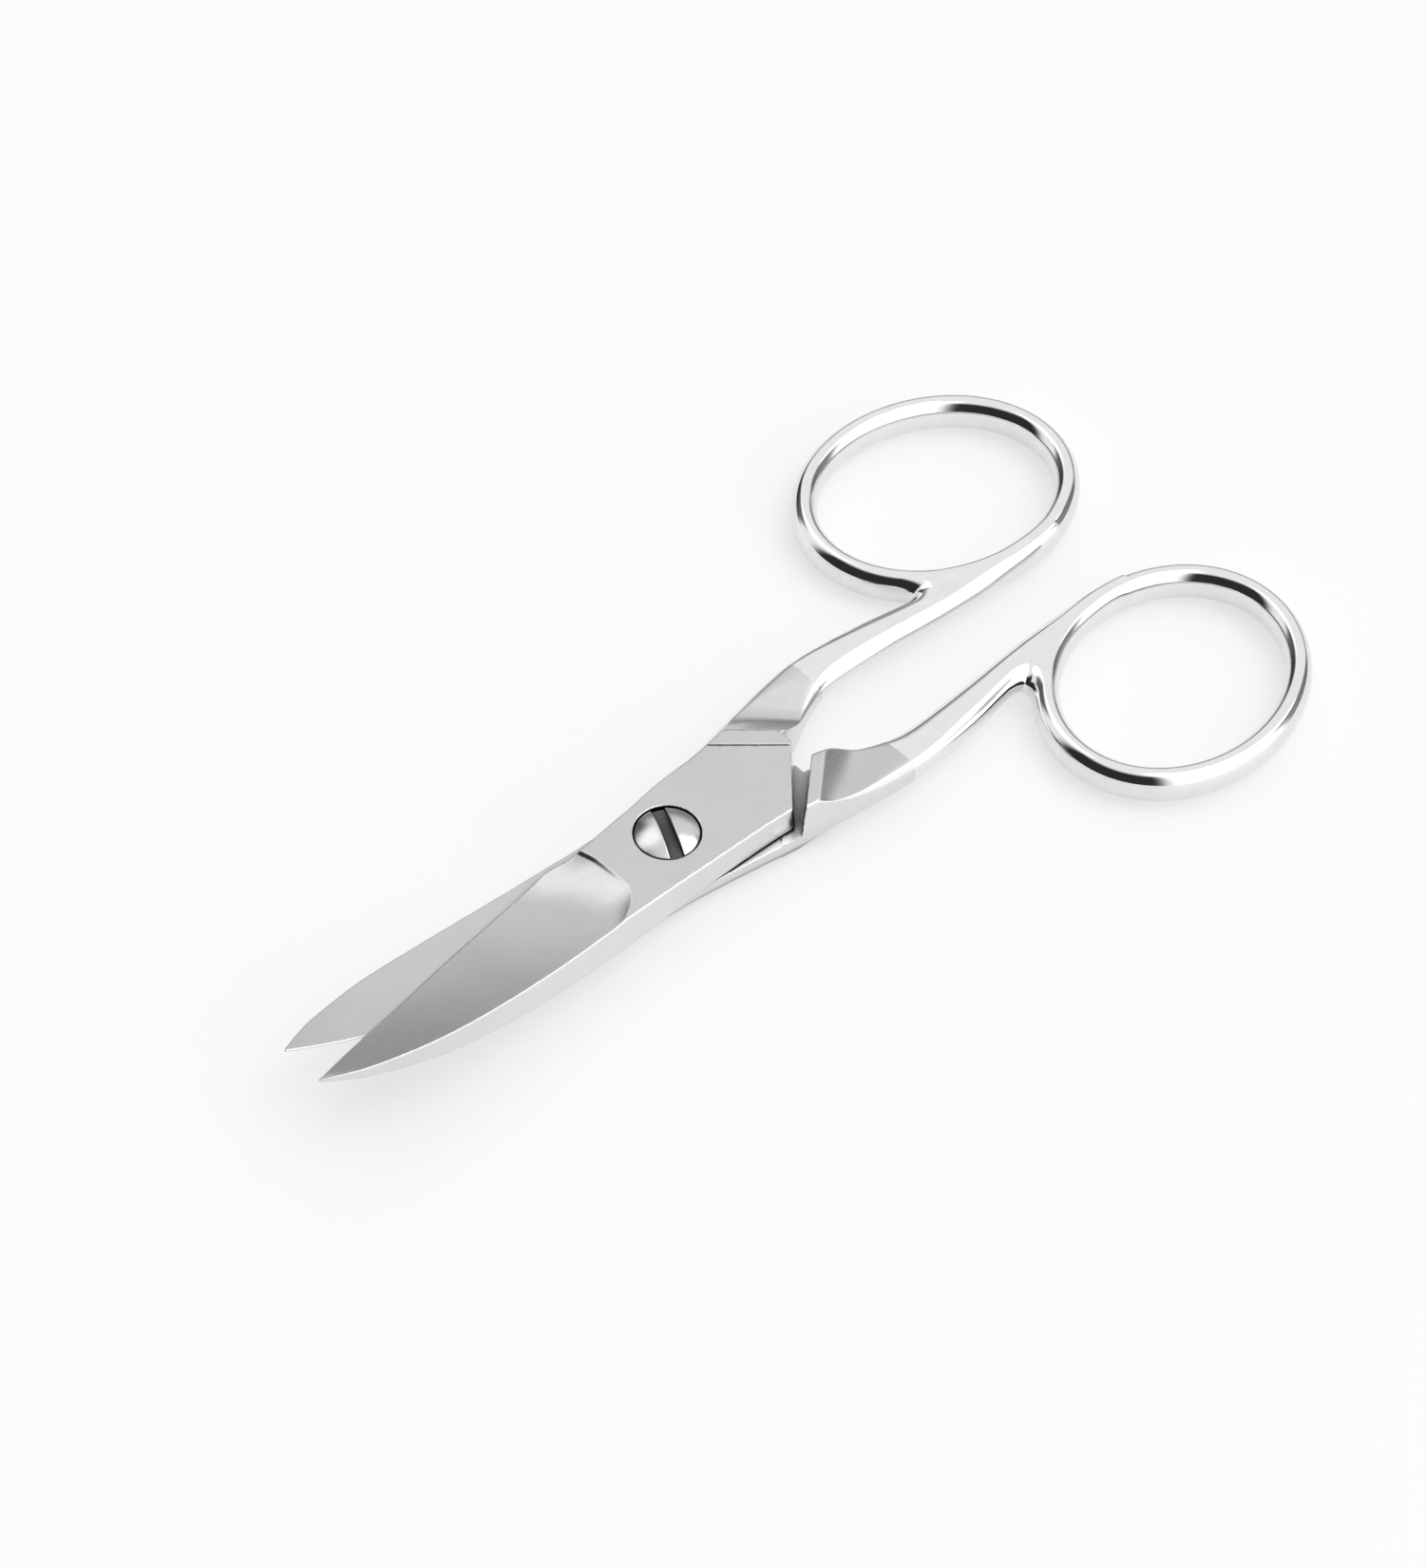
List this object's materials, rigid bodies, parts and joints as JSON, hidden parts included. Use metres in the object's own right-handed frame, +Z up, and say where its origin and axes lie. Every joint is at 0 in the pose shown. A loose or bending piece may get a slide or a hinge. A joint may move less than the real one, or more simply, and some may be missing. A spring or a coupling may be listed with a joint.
{
  "type": "curved scissors",
  "caption": "Small curved-blade scissors: two forged halves with oval finger rings, turning on a slotted, domed pivot screw. Satin blades and mirror-polished handles.",
  "frame": {"origin": "pivot axis where it meets the surface the scissors lie on", "axes": "+X from the pivot towards the finger rings, +Y towards the upper half's ring, +Z up along the pivot axis"},
  "size_m": [0.1012, 0.054, 0.0088],
  "materials": {
    "satin_steel": "satin, fine grain across the blade",
    "polished_handle": "mirror-polished nickel",
    "screw_steel": "turned and brushed"
  },
  "bodies": {
    "lower_half": {"lower_half": "satin_steel"},
    "upper_half": {"upper_half": "satin_steel"},
    "pivot_screw": {"pivot_screw": "screw_steel"}
  },
  "joints": [
    {"name": "scissor_pivot", "type": "hinge", "parent": "lower_half", "child": "upper_half", "pos_m": [0, 0, 0.00275], "axis": [0, 0, 1], "range_deg": [-6, 100]},
    {"name": "tension_adjust", "type": "hinge", "parent": "lower_half", "child": "pivot_screw", "pos_m": [0, 0, 0.00275], "axis": [0, 0, 1], "range_deg": [-20, 20]}
  ]
}
